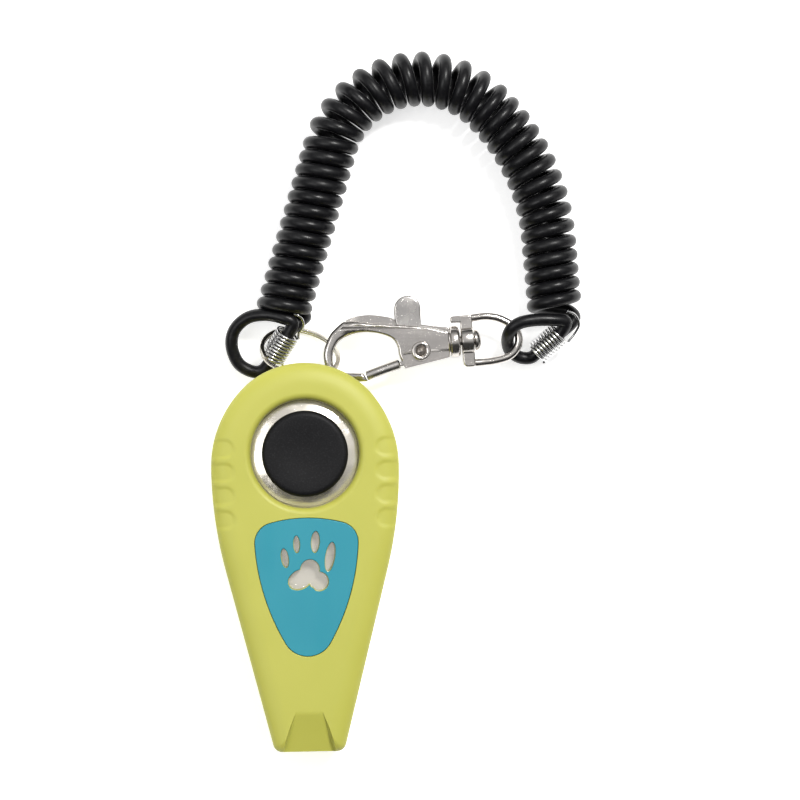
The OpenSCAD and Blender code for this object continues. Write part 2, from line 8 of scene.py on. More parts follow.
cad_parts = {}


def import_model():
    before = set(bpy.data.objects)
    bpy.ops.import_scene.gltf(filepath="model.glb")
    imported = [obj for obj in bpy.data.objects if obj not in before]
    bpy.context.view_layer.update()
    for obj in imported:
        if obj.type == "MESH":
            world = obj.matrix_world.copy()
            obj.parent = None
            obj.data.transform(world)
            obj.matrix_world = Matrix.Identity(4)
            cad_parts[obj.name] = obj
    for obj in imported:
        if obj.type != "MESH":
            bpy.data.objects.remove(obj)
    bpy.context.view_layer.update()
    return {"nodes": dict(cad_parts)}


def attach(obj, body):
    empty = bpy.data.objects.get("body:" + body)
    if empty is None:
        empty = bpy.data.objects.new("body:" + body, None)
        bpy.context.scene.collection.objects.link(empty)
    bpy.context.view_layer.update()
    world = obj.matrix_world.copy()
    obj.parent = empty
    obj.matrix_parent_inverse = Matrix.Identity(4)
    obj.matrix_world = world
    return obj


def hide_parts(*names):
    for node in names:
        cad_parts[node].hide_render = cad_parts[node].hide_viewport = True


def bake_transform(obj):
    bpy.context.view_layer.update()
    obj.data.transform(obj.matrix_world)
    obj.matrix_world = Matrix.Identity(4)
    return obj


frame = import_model()

# Shapes are drawn in millimetres and become metres in mesh_object().
MM = 0.001

# ---------- driving sizes ----------

CROWN_Y, TAIL_Y = 17.5, 57.4
CROWN_R, SHOULDER_R, FLANK_R = 17.0, 21.7, 80.0
TAPER = 14.3
TAIL_CORNER_R = 1.8
HOUSING_T, SPLIT_Z, WALL_T = 16.0, 6.5, 1.8
SHOULDER_W, SHOULDER_H = 4.2, 2.2
BACK_EDGE_R = 3.0
OPENING_R, LIP_R = 10.45, 1.3
BUTTON_R, BUTTON_PROUD, BUTTON_RIM_R, BUTTON_DISH = 8.3, 0.8, 1.1, 0.35
PEG_R, PEG_LEN, PEG_HOLE_R = 1.2, 2.2, 1.3
STOP_R, STOP_TOP, STOP_CHAMFER = 3.0, 10.15, 0.3
PLATE_TOP, PLATE_T = 13.45, 0.4
CEILING_Z = 14.0
BAY_R, BAY_Y, BAY_CEILING_Z = 13.4, 10.5, 13.5
HEAD_C, CAVITY_HEAD_R = (0.0, 0.5), 11.95
PAW_PLATE_T, PAW_PLATE_GAP = 1.2, 0.08
PIN_XY, PIN_R, PIN_LOW, PIN_TOP, PIN_CHAMFER = (0.95, 16.25), 0.7, 3.05, 14.5, 0.1
PIN_BORE_Z, PIN_GAP = 3.0, 0.05
TONGUE_TOP = 8.3
SCREW_XY = [(-13.5, -9.0), (13.5, -9.0), (0.0, -46.0)]
BOSS_R, PILOT_R, SHANK_R = 2.1, 1.13, 1.15
SCREW_HEAD_R, SCREW_HEAD_DEPTH = 1.9, 1.6
PLATE_SCREW_XY, PLATE_SCREW_R = [(-4.2, -32.0), (4.2, -32.0)], 0.8
# Height inside the back shell's floor, where posts and bosses start
IN_FLOOR = 1.0
# Small offset that keeps two faces out of one plane, because a boolean fails on such a pair
HAIR = 0.01

# ---------- small maths ----------


def cosd(a):
    return math.cos(math.radians(a))


def sind(a):
    return math.sin(math.radians(a))


def smooth(t):
    t = min(max(t, 0.0), 1.0)
    return t * t * (3 - 2 * t)


def arc(c, r, a0, a1, n):
    """n + 1 points along an arc about c."""
    return [Vector((c[0] + r * cosd(a0 + (a1 - a0) * i / n),
                    c[1] + r * sind(a0 + (a1 - a0) * i / n))) for i in range(n + 1)]


def spline(points, n):
    """Catmull-Rom curve through points, with n steps between neighbours."""
    p = [Vector(q) for q in points]
    out = []
    for i in range(len(p) - 1):
        a, b, c, d = p[max(i - 1, 0)], p[i], p[i + 1], p[min(i + 2, len(p) - 1)]
        for k in range(n):
            t = k / n
            out.append(0.5 * (2 * b + (c - a) * t + (2 * a - 5 * b + 4 * c - d) * t * t
                              + (3 * b - 3 * c + d - a) * t ** 3))
    out.append(p[-1])
    return out


def round_section(r, n, flat=1.0):
    return [(r * cosd(360 * (j + 0.5) / n), flat * r * sind(360 * (j + 0.5) / n)) for j in range(n)]


# ---------- mesh makers ----------


def mesh_object(name, verts, faces):
    mesh = bpy.data.meshes.new(name)
    mesh.from_pydata([(v[0] * MM, v[1] * MM, v[2] * MM) for v in verts], [], faces)
    mesh.validate()
    mesh.update()
    obj = bpy.data.objects.new(name, mesh)
    bpy.context.scene.collection.objects.link(obj)
    return obj


def bands(rings, k, closed=True):
    """Quads between neighbouring rings of k points each."""
    last = k if closed else k - 1
    return [(i * k + j, i * k + (j + 1) % k, (i + 1) * k + (j + 1) % k, (i + 1) * k + j)
            for i in range(rings - 1) for j in range(last)]


def stack(name, rings, flat_caps=True):
    """Solid through rings of 3-D points that run counter-clockwise, from the lowest to the highest."""
    k = len(rings[0])
    top = (len(rings) - 1) * k
    faces = bands(len(rings), k)
    if flat_caps:
        faces.append(tuple(range(k - 1, -1, -1)))
        faces.append(tuple(top + j for j in range(k)))
    else:
        for ring, first, turn in ((rings[0], 0, -1), (rings[-1], top, 1)):
            for tri in tessellate_polygon([[Vector((p[0], p[1], 0)) for p in ring]]):
                a, b, c = (Vector(ring[j][:2]) for j in tri)
                if turn * (b - a).cross(c - a) < 0:
                    tri = tri[::-1]
                faces.append(tuple(first + j for j in tri))
    return mesh_object(name, [p for ring in rings for p in ring], faces)


def prism(name, outline, z0, z1):
    return stack(name, [[(p[0], p[1], z) for p in outline] for z in (z0, z1)])


def lathe(name, profile, n=128):
    """Turns a profile of (radius, height) points, from the bottom to the top of the axis."""
    verts, faces, rows = [], [], []
    for r, z in profile:
        if r < 1e-6:
            rows.append([len(verts)] * n)
            verts.append((0.0, 0.0, z))
        else:
            rows.append(list(range(len(verts), len(verts) + n)))
            verts += [(r * cosd(360 * j / n), r * sind(360 * j / n), z) for j in range(n)]
    for low, high in zip(rows, rows[1:]):
        for j in range(n):
            face = [low[j], low[(j + 1) % n], high[(j + 1) % n], high[j]]
            unique = list(dict.fromkeys(face))
            if len(unique) > 2:
                faces.append(tuple(unique))
    return mesh_object(name, verts, faces)


def tube_lathe(name, profile, n=96):
    """Turns a closed profile that stays off the axis."""
    verts = [(r * cosd(360 * j / n), r * sind(360 * j / n), z)
             for j in range(n) for r, z in profile]
    k = len(profile)
    faces = [(j * k + i, ((j + 1) % n) * k + i, ((j + 1) % n) * k + (i + 1) % k, j * k + (i + 1) % k)
             for j in range(n) for i in range(k)]
    return mesh_object(name, verts, faces)


def sweep(name, path, ups, section):
    """Closed tube along a path. The first point of each ring faces ups[i]."""
    m, k = len(path), len(section)
    verts = []
    for i, p in enumerate(path):
        t = (path[min(i + 1, m - 1)] - path[max(i - 1, 0)]).normalized()
        e1 = (ups[i] - ups[i].dot(t) * t).normalized()
        e2 = t.cross(e1)
        verts += [p + s[0] * e1 + s[1] * e2 for s in section]
    faces = bands(m, k)
    faces.append(tuple(range(k - 1, -1, -1)))
    faces.append(tuple((m - 1) * k + j for j in range(k)))
    return mesh_object(name, verts, faces)


# Points that are closer than this, in metres, are one point
SAME_POINT = 2e-7


def merge_points(data):
    mesh = bmesh.new()
    mesh.from_mesh(data)
    bmesh.ops.remove_doubles(mesh, verts=mesh.verts, dist=SAME_POINT)
    bmesh.ops.dissolve_degenerate(mesh, edges=mesh.edges, dist=SAME_POINT)
    mesh.to_mesh(data)
    mesh.free()


def boolean(target, tool, operation="DIFFERENCE"):
    """Cuts tool out of target, or joins it on, and deletes tool."""
    step = target.modifiers.new("step", "BOOLEAN")
    step.operation = operation
    step.solver = "EXACT"
    step.object = tool
    evaluated = target.evaluated_get(bpy.context.evaluated_depsgraph_get())
    mesh = bpy.data.meshes.new_from_object(evaluated)
    target.modifiers.clear()
    target.data = mesh
    merge_points(mesh)
    bpy.data.objects.remove(tool)
    return target


def place(obj, matrix):
    """Moves the mesh itself, so that the object stays at the origin."""
    obj.data.transform(matrix)
    return obj


def shift(obj, x, y, z):
    return place(obj, Matrix.Translation((x * MM, y * MM, z * MM)))


def finish_piece(obj, body, nodes, material, angle=32, bevel=0.0, segments=3):
    """Smooth shading, an optional small bevel, the material, and the piece's place in the frame."""
    if bevel:
        edge = obj.modifiers.new("edges", "BEVEL")
        edge.width = bevel * MM
        edge.segments = segments
        edge.limit_method = "ANGLE"
        edge.angle_limit = math.radians(35)
        edge.miter_outer = "MITER_ARC"
        edge.use_clamp_overlap = True
    obj.data.shade_smooth()
    obj.data.set_sharp_from_angle(angle=math.radians(angle))
    normals = obj.modifiers.new("normals", "WEIGHTED_NORMAL")
    normals.keep_sharp = True
    obj.data.materials.clear()
    obj.data.materials.append(material)
    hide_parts(*nodes)
    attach(obj, body)
    return obj


# ---------- materials ----------


class Graph:
    """A material's nodes, with short names for the few kinds that are used here."""

    def __init__(self, name):
        self.material = bpy.data.materials.new(name)
        self.material.use_nodes = True
        self.tree = self.material.node_tree
        self.shader = self.tree.nodes["Principled BSDF"]
        coords = self.tree.nodes.new("ShaderNodeTexCoord")
        scale = self.tree.nodes.new("ShaderNodeMapping")
        scale.inputs["Scale"].default_value = (1000, 1000, 1000)
        self.link(coords.outputs["Object"], scale.inputs["Vector"])
        self.mm = scale.outputs["Vector"]

    def link(self, a, b):
        self.tree.links.new(a, b)

    def noise(self, size, detail=3.0, stretch=(1, 1, 1), rough=0.5):
        """Noise whose cells are about size millimetres across."""
        fit = self.tree.nodes.new("ShaderNodeMapping")
        fit.inputs["Scale"].default_value = [s / size for s in stretch]
        self.link(self.mm, fit.inputs["Vector"])
        node = self.tree.nodes.new("ShaderNodeTexNoise")
        node.inputs["Scale"].default_value = 1.0
        node.inputs["Detail"].default_value = detail
        node.inputs["Roughness"].default_value = rough
        self.link(fit.outputs["Vector"], node.inputs["Vector"])
        return node.outputs["Fac"]

    def ramp(self, value, low, high, a=0.0, b=1.0):
        """Maps value from low..high to a..b."""
        node = self.tree.nodes.new("ShaderNodeMapRange")
        node.inputs["From Min"].default_value = low
        node.inputs["From Max"].default_value = high
        node.inputs["To Min"].default_value = a
        node.inputs["To Max"].default_value = b
        self.link(value, node.inputs["Value"])
        return node.outputs["Result"]

    def mix(self, fac, a, b):
        node = self.tree.nodes.new("ShaderNodeMix")
        node.data_type = "RGBA"
        self.link(fac, node.inputs["Factor"])
        for socket, value in ((node.inputs[6], a), (node.inputs[7], b)):
            if isinstance(value, tuple):
                socket.default_value = (*value, 1.0)
            else:
                self.link(value, socket)
        return node.outputs[2]

    def bump(self, heights, strength=1.0):
        """Adds bumps, each (value, height in millimetres)."""
        normal = None
        for value, height in heights:
            node = self.tree.nodes.new("ShaderNodeBump")
            node.inputs["Strength"].default_value = strength
            node.inputs["Distance"].default_value = height * MM
            self.link(value, node.inputs["Height"])
            if normal is not None:
                self.link(normal, node.inputs["Normal"])
            normal = node.outputs["Normal"]
        self.link(normal, self.shader.inputs["Normal"])

    def radius(self):
        """Distance in millimetres from the button's axis."""
        flat = self.tree.nodes.new("ShaderNodeMapping")
        flat.inputs["Scale"].default_value = (1, 1, 0)
        self.link(self.mm, flat.inputs["Vector"])
        node = self.tree.nodes.new("ShaderNodeVectorMath")
        node.operation = "LENGTH"
        self.link(flat.outputs["Vector"], node.inputs[0])
        return node.outputs["Value"]

    def set(self, **values):
        for name, value in values.items():
            socket = self.shader.inputs[name.replace("_", " ")]
            if hasattr(value, "node"):
                self.link(value, socket)
            else:
                socket.default_value = value


def moulded_plastic(name, colour, shade, rough, grain, depth, scatter):
    """Satin moulded plastic: slow colour drift, fine spark-eroded grain and a few faint rub marks."""
    g = Graph(name)
    drift = g.ramp(g.noise(14, 2), 0.35, 0.65)
    grain_value = g.noise(grain, 4, rough=0.6)
    rubs = g.ramp(g.noise(5, 5, stretch=(1, 0.15, 1)), 0.56, 0.72)
    g.set(Base_Color=g.mix(drift, colour, shade),
          Roughness=g.ramp(rubs, 0, 1, rough, rough - 0.07),
          IOR=1.5, Subsurface_Weight=scatter, Subsurface_Radius=(1.0, 0.8, 0.3),
          Subsurface_Scale=0.8 * MM)
    g.bump([(grain_value, depth), (g.noise(3.5, 2), depth * 1.5)])
    return g.material


def plated_metal(name, colour, dark, rough, wear=0.35, brush=None, metal=1.0, dome=0.0):
    """Nickel plate: faint haze, pin-prick tumbling marks, hair scratches and duller low spots."""
    g = Graph(name)
    haze = g.ramp(g.noise(2.2, 5), 0.35, 0.7)
    pits = g.ramp(g.noise(0.16, 2), 0.66, 0.8)
    scratch_a = g.ramp(g.noise(1.6, 6, stretch=(0.12, 3.5, 1)), 0.6, 0.74)
    scratch_b = g.ramp(g.noise(1.3, 6, stretch=(3.0, 0.15, 1)), 0.62, 0.76)
    tone = g.mix(g.ramp(haze, 0, 1, 0, wear), colour, dark)
    g.set(Base_Color=g.mix(pits, tone, tuple(0.55 * c for c in colour)),
          Metallic=metal, Roughness=g.ramp(haze, 0, 1, rough, rough + 0.12))
    marks = [(pits, -0.012), (scratch_a, -0.006), (scratch_b, -0.006), (g.noise(0.9, 3), 0.005),
             (g.noise(6, 1), 0.35)]
    if dome:
        marks.append((g.ramp(g.radius(), 0, DOME_R, 0, DOME_R), -dome))
    if brush:
        marks.append((g.noise(0.35, 3, stretch=brush), 0.004))
    g.bump(marks)
    return g.material


def black_cord():
    """Satin polyurethane: near black, slightly dusty, with a soft orange-peel skin."""
    g = Graph("cord_pu")
    dust = g.ramp(g.noise(0.7, 6), 0.5, 0.78)
    patch = g.ramp(g.noise(6, 3), 0.4, 0.65)
    g.set(Base_Color=g.mix(dust, (0.005, 0.005, 0.006), (0.014, 0.014, 0.015)),
          Roughness=g.ramp(patch, 0, 1, 0.30, 0.40), IOR=1.4, Specular_IOR_Level=0.42)
    g.bump([(g.noise(0.5, 3), 0.012), (g.noise(2.5, 2), 0.03)])
    return g.material


def black_button():
    """Matte black with a fine pebbled texture and a little pale dust."""
    g = Graph("button_plastic")
    dust = g.ramp(g.noise(0.3, 5), 0.52, 0.8)
    pebble = g.noise(0.28, 3, rough=0.65)
    g.set(Base_Color=g.mix(dust, (0.007, 0.007, 0.008), (0.020, 0.020, 0.022)),
          Roughness=g.ramp(g.noise(3, 3), 0.3, 0.7, 0.46, 0.56), IOR=1.4, Specular_IOR_Level=0.25)
    g.bump([(pebble, 0.03), (g.noise(1.2, 2), 0.02)])
    return g.material


# The click plate falls away from the button out to this radius
DOME_R = 12

LIME = moulded_plastic("lime_plastic", (0.545, 0.540, 0.098), (0.525, 0.522, 0.090), 0.50, 0.22, 0.008, 0.10)
TEAL = moulded_plastic("teal_plastic", (0.028, 0.308, 0.398), (0.024, 0.295, 0.385), 0.40, 0.25, 0.006, 0.03)
BUTTON = black_button()
CORD = black_cord()
NICKEL = plated_metal("hook_nickel", (0.62, 0.59, 0.56), (0.44, 0.41, 0.38), 0.16)
GATE = plated_metal("gate_nickel", (0.58, 0.56, 0.54), (0.40, 0.38, 0.36), 0.20, 0.5)
WIRE = plated_metal("clamp_steel", (0.74, 0.74, 0.74), (0.55, 0.55, 0.54), 0.13)
RING = plated_metal("ring_steel", (0.68, 0.65, 0.58), (0.45, 0.42, 0.36), 0.2)
PLATE = plated_metal("spring_steel", (0.90, 0.85, 0.76), (0.78, 0.73, 0.64), 0.15, 0.3, (0.1, 4, 1),
                     0.75, 0.24)
ZINC = plated_metal("screw_steel", (0.42, 0.42, 0.44), (0.26, 0.26, 0.27), 0.3)

# ---------- housing ----------


def housing_half(d):
    """Right half of the outline, moved in by d: crown, shoulder, flank and tail corner."""
    a1 = 40
    c1 = Vector((0, CROWN_Y - CROWN_R))
    c2 = c1 + (CROWN_R - SHOULDER_R) * Vector((cosd(a1), sind(a1)))
    c3 = c2 + Vector((SHOULDER_R - FLANK_R, 0))
    n = Vector((cosd(-TAPER), sind(-TAPER)))
    flank_end = c3 + FLANK_R * n
    rc = TAIL_CORNER_R
    yc = rc - TAIL_Y
    xc = flank_end.x + (-rc - (yc - flank_end.y) * n.y) / n.x
    rd = max(rc - d, 0.2)
    back = max(d - (rc - 0.2), 0)
    corner = Vector((xc - back * (1 + n.y) / n.x, yc + back))
    tail_start = corner + rd * n
    flank_last = c3 + (FLANK_R - d) * n
    straight = [flank_last.lerp(tail_start, i / 40) for i in range(1, 40)]
    end = corner + Vector((0, -rd))
    return (arc(c1, CROWN_R - d, 90, a1, 48) + arc(c2, SHOULDER_R - d, a1, 0, 44)[1:]
            + arc(c3, FLANK_R - d, 0, -TAPER, 60)[1:] + straight
            + arc(corner, rd, -TAPER, -90, 10)
            + [Vector((end.x * (1 - i / 10), end.y)) for i in range(1, 11)])


def mirrored(half):
    """Whole outline, counter-clockwise, from its right half that runs clockwise from the top."""
    left = [Vector((-p.x, p.y)) for p in half if p.x > 1e-3]
    return [half[0]] + left + [half[-1]] + [Vector((-p.x, p.y)) for p in reversed(left)]


def outline(d):
    return mirrored(housing_half(d))


GRIP_X, GRIP_Y, GRIP_PITCH, GRIP_R, GRIP_DEPTH = 15.4, 1.17, 4.55, 1.75, 0.2


def grip_depth(x, y):
    """Depth of the soft thumb grips at a point of the front face."""
    ax = abs(x)
    depth = 0.0
    for i in range(4):
        dy = y - (GRIP_Y - GRIP_PITCH * i)
        if abs(dy) > GRIP_R + 0.5:
            continue
        reach = math.hypot(ax - GRIP_X, dy) if ax < GRIP_X else abs(dy)
        edge = smooth((GRIP_R + 0.22 - reach) / 0.55)
        depth = max(depth, GRIP_DEPTH * edge)
    return depth


def shoulder_rings():
    """Rings over the soft shoulder and onto the flat of the face, with the grips pressed in."""
    levels = [(SHOULDER_W * (1 - cosd(a)), SHOULDER_H * (1 - sind(a))) for a in range(0, 91, 4)]
    levels += [(SHOULDER_W + 0.3 * i, 0.0) for i in range(1, 5)]
    rings = []
    for d, drop in levels:
        fade = smooth(d / 0.5)
        rings.append([(p.x, p.y, HOUSING_T - drop - fade * grip_depth(p.x, p.y)) for p in outline(d)])
    return rings


def cavity_tools():
    """The hollow of the two shells, kept clear of the bay at the head."""
    low = [p for p in outline(WALL_T) if p.y < 7]
    right = sorted((p for p in low if p.x > 0), key=lambda p: p.y)
    left = sorted((p for p in low if p.x <= 0), key=lambda p: -p.y)
    ring = right + left
    circle = arc(HEAD_C, CAVITY_HEAD_R, 0, 360, 96)[:-1]
    return ring, circle


def hollow(shell, z0, z1):
    for i, ring in enumerate(cavity_tools()):
        boolean(shell, prism("tool", ring, z0 - 0.01 * i, z1))


def cut_bay(shell, z0):
    half = math.degrees(math.asin((BAY_Y - HEAD_C[1]) / BAY_R))
    ring = arc(HEAD_C, BAY_R, half, 180 - half, 64) + [
        Vector((-20, BAY_Y)), Vector((-20, 23)), Vector((20, 23)), Vector((20, BAY_Y))]
    ring.reverse()
    boolean(shell, prism("tool", ring, z0, BAY_CEILING_Z))


def ellipse(cx, cy, rx, ry, turn, grow, n=64):
    """Points round a turned ellipse, with both radii larger by grow."""
    across = [((rx + grow) * cosd(360 * i / n), (ry + grow) * sind(360 * i / n)) for i in range(n)]
    return [(cx + u * cosd(turn) - v * sind(turn), cy + u * sind(turn) + v * cosd(turn)) for u, v in across]


TOES = [(-4.2, -20, 0.75, 1.9, 8), (-1.9, -17.4, 0.65, 1.7, 2),
        (1.7, -17, 0.85, 2.1, -4), (4.5, -19.9, 0.95, 2.9, -10)]
PADS = [(-1.3, -24.2, 2.5, 1.9, 28), (2.3, -24.6, 1.9, 1.9, 0), (0.6, -22.3, 1.9, 2, 0)]
NOTCH = (0.4, -27, 1.3, 1.4, 0)


def flared(name, shape, grow, z0, mouth_z, flare):
    """Straight hole through the plate, with a rounded mouth of radius flare."""
    levels = [(0.0, z0), (0.0, mouth_z - flare)]
    levels += [(flare * (1 - cosd(a)), mouth_z - flare + flare * sind(a)) for a in (30, 55, 75, 90)]
    levels.append((flare, mouth_z + 1))
    return stack(name, [[(x, y, z) for x, y in ellipse(*shape, grow + g)] for g, z in levels])


def cut_paw(target, grow, z0, mouth_z, flare):
    for toe in TOES:
        boolean(target, flared("tool", toe, grow, z0, mouth_z, flare))
    pad = flared("pad", PADS[0], grow, z0, mouth_z, flare)
    for other in PADS[1:]:
        boolean(pad, flared("tool", other, grow, z0 - 0.01, mouth_z, flare), "UNION")
    levels = [(0.0, z0 - 1), (0.0, mouth_z - flare), (-flare * 0.5, mouth_z - flare * 0.2),
              (-flare, mouth_z), (-flare, mouth_z + 2)]
    notch = stack("notch", [[(x, y, z) for x, y in ellipse(*NOTCH, g - grow)] for g, z in levels])
    boolean(pad, notch)
    boolean(target, pad)


def pick_half(d):
    """Right half of the paw plate's outline, moved in by d."""
    top = Vector((0, -12.3 - 27.2))
    corner = top + 23.2 * Vector((cosd(75), sind(75)))
    side = corner + (4 - 43) * Vector((cosd(-3), sind(-3)))
    toe_a = math.degrees(math.acos(-side.x / 38))
    tip = side + 38 * Vector((cosd(-toe_a), sind(-toe_a)))
    return (arc(top, 27.2 - d, 90, 75, 14) + arc(corner, 4 - d, 70, -3, 18)
            + arc(side, 43 - d, -5, -toe_a, 30) + arc(tip, 5 - d, -toe_a - 5, -90, 18))


def pick_rings(levels):
    return [[(p.x, p.y, z) for p in mirrored(pick_half(d))] for d, z in levels]


def fillet_levels(d0, z0, r, flip=1, steps=(0, 30, 60, 90)):
    """(inset, height) pairs round a convex edge that ends at height z0."""
    return [(d0 + r * (1 - cosd(a)), z0 - flip * r * (1 - sind(a))) for a in steps]


SCOOP_L, SCOOP_DROP, SCOOP_W0, SCOOP_W1 = 8.0, 2.3, 5.0, 10.2


def scoop_tool():
    """Sloping wedge with flared walls and a soft upper edge."""
    top_y = SCOOP_L - TAIL_Y
    rings = []
    steps = 10
    for i in range(steps + 1):
        s = 1 - i / steps
        run = (SCOOP_L + 1.5) * s
        y = top_y - run
        drop = SCOOP_DROP * (run / SCOOP_L) * smooth(0.35 + run / 2.0)
        w = (SCOOP_W0 + (SCOOP_W1 - SCOOP_W0) * run / SCOOP_L) / 2
        floor = HOUSING_T - drop
        flare = 0.28
        rings.append([(-w + 0.25, y, floor), (-w, y, floor + 0.2 * min(drop, 1)),
                      (-w - flare * min(drop, 1), y, HOUSING_T + 0.001 + 0.02 * s),
                      (-w - 0.6, y, HOUSING_T + 3), (w + 0.6, y, HOUSING_T + 3),
                      (w + flare * min(drop, 1), y, HOUSING_T + 0.001 + 0.02 * s),
                      (w, y, floor + 0.2 * min(drop, 1)), (w - 0.25, y, floor)])
    return rings


def front_shell():
    seam = [(0.12, SPLIT_Z), (0.0, SPLIT_Z + 0.15)]
    rings = [[(p.x, p.y, z) for p in outline(d)] for d, z in seam] + shoulder_rings()
    shell = stack("front_shell_body", rings)
    hollow(shell, SPLIT_Z - 1, CEILING_Z)
    cut_bay(shell, SPLIT_Z - 1)
    # The round opening, with a soft lip that rolls into the face
    lip = [(OPENING_R + LIP_R * (1 - cosd(a)), HOUSING_T - LIP_R * (1 - sind(a)))
           for a in range(0, 91, 10)]
    boolean(shell, lathe("tool", [(0, 10), (OPENING_R, 10)] + lip
                         + [(OPENING_R + LIP_R + 0.01, HOUSING_T + 2), (0, HOUSING_T + 2)]))
    pocket = [(0, HOUSING_T - PAW_PLATE_T), (0, HOUSING_T - 0.12), (-0.04, HOUSING_T - 0.04),
              (-0.12, HOUSING_T), (-0.13, HOUSING_T + 2)]
    boolean(shell, stack("tool", pick_rings(pocket)))
    cut_paw(shell, -0.1, 12, 20, 0.01)
    boolean(shell, stack("tool", scoop_tool()))
    for x, y in SCREW_XY:
        boss = tube_lathe("tool", [(BOSS_R, SPLIT_Z), (BOSS_R, CEILING_Z + 0.5),
                                   (PILOT_R, CEILING_Z + 0.5), (PILOT_R, SPLIT_Z)], 48)
        boolean(shell, shift(boss, x, y, 0), "UNION")
    return finish_piece(shell, "housing", ["front_shell"], LIME, 28)


def back_shell():
    base = [(d, BACK_EDGE_R * (1 - sind(a))) for a in range(90, -1, -9)
            for d in [BACK_EDGE_R * (1 - cosd(a))]]
    rings = [[(p.x, p.y, z) for p in outline(d)] for d, z in base
             + [(0, SPLIT_Z - 0.15), (0.12, SPLIT_Z)]]
    shell = stack("back_shell_body", rings)
    hollow(shell, WALL_T, SPLIT_Z + 1)
    cut_bay(shell, -1)
    # The tongue's root is a hair smaller than the tongue, so that no two faces lie in one plane
    root = [(3.2 - HAIR, 12.8), (3.2 - HAIR, 15), (-1.3 + HAIR, 15), (-1.3 + HAIR, 12.8)]
    boolean(shell, prism("tool", root, HAIR, SPLIT_Z - HAIR), "UNION")
    tongue = [(3.2, BAY_R + 0.6), (3.2, 16.9), (1, 17.15), (-1.3, 17.1), (-1.3, BAY_R + 0.6)]
    boolean(shell, prism("tool", tongue, 0.0, TONGUE_TOP), "UNION")
    bore_r = PIN_R + PIN_GAP
    pin_bore = lathe("tool", [(0, PIN_BORE_Z), (bore_r, PIN_BORE_Z), (bore_r, 12), (0, 12)], 48)
    boolean(shell, shift(pin_bore, PIN_XY[0], PIN_XY[1], 0))
    # The stop ends just under the pressed button's peg
    stop = lathe("tool", [(0, IN_FLOOR), (STOP_R, IN_FLOOR), (STOP_R, STOP_TOP - STOP_CHAMFER),
                          (STOP_R - STOP_CHAMFER, STOP_TOP), (0, STOP_TOP)], 64)
    boolean(shell, stop, "UNION")
    for x, y in SCREW_XY:
        boss = lathe("tool", [(0, IN_FLOOR), (BOSS_R, IN_FLOOR), (BOSS_R, SPLIT_Z), (0, SPLIT_Z)], 48)
        boolean(shell, shift(boss, x, y, 0), "UNION")
        bore = lathe("tool", [(0, -1), (2.2, -1), (2.15, -0.001), (SCREW_HEAD_R, 0.25),
                              (SCREW_HEAD_R, SCREW_HEAD_DEPTH), (SHANK_R, SCREW_HEAD_DEPTH),
                              (SHANK_R, 9), (0, 9)], 64)
        boolean(shell, shift(bore, x, y, 0))
    return finish_piece(shell, "housing", ["back_shell"], LIME, 28)


def paw_plate():
    low = HOUSING_T - PAW_PLATE_T
    levels = [(PAW_PLATE_GAP, low), (PAW_PLATE_GAP, HOUSING_T - 0.16)]
    levels += fillet_levels(PAW_PLATE_GAP, HOUSING_T, 0.16, 1, (25, 50, 70, 90))
    plate = stack("paw_plate_body", pick_rings(levels))
    cut_paw(plate, 0, 12, HOUSING_T, 0.12)
    return finish_piece(plate, "housing", ["paw_plate"], TEAL, 30)


def drill(r, n):
    """Cutter for a hole through the click plate, on the button's axis."""
    return lathe("tool", [(0, 10), (r, 10), (r, 15), (0, 15)], n)


def click_plate():
    """Spring steel plate, sliced across so that it can bend down under the button."""
    r, c = 11.3, (0.0, 0.3)
    half_w, neck_y, tail_y = 8.6, -29.0, -35.0
    bend_y, bend_len = -22, 20
    corner = Vector((half_w, neck_y))
    to = corner - Vector(c)
    tangent = math.degrees(math.atan2(to.y, to.x)) + math.degrees(math.acos(r / to.length))
    ring = arc(c, r, tangent, 180 - tangent, 90) + [
        Vector((-half_w, neck_y)), Vector((-half_w, tail_y)), Vector((half_w, tail_y)), corner]
    low = PLATE_TOP - PLATE_T
    plate = stack("click_plate_body", [[(p.x, p.y, z) for p in ring] for z in (low, PLATE_TOP)])
    boolean(plate, drill(PEG_HOLE_R, 48))
    for x, y in PLATE_SCREW_XY:
        boolean(plate, shift(drill(PLATE_SCREW_R, 32), x, y, 0))
    mesh = bmesh.new()
    mesh.from_mesh(plate.data)
    for i in range(bend_len):
        bmesh.ops.bisect_plane(mesh, geom=mesh.verts[:] + mesh.edges[:] + mesh.faces[:],
                               plane_co=(0, (bend_y + i) * MM, 0), plane_no=(0, 1, 0))
    mesh.to_mesh(plate.data)
    mesh.free()
    plate.data.shade_smooth()
    plate.data.set_sharp_from_angle(angle=math.radians(30))
    plate.data.materials.clear()
    plate.data.materials.append(PLATE)
    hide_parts("click_plate")
    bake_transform(plate)


def button_cap():
    rise = HOUSING_T + BUTTON_PROUD
    low = PLATE_TOP + 0.15
    rim = BUTTON_RIM_R
    profile = [(0, low - PEG_LEN), (PEG_R, low - PEG_LEN), (PEG_R, low), (BUTTON_R - 0.3, low),
               (BUTTON_R, low + 0.3)]
    profile += [(BUTTON_R - rim + rim * cosd(a), rise - rim + rim * sind(a)) for a in range(0, 91, 9)]
    # The top is dished a little for the thumb
    for i in range(1, 13):
        t = i / 12
        profile.append(((BUTTON_R - rim) * (1 - t), rise - BUTTON_DISH * smooth(t * 1.15)))
    cap = lathe("button_cap_body", profile, 160)
    return finish_piece(cap, "button", ["button_cap"], BUTTON, 30)


# ---------- split ring and pin ----------

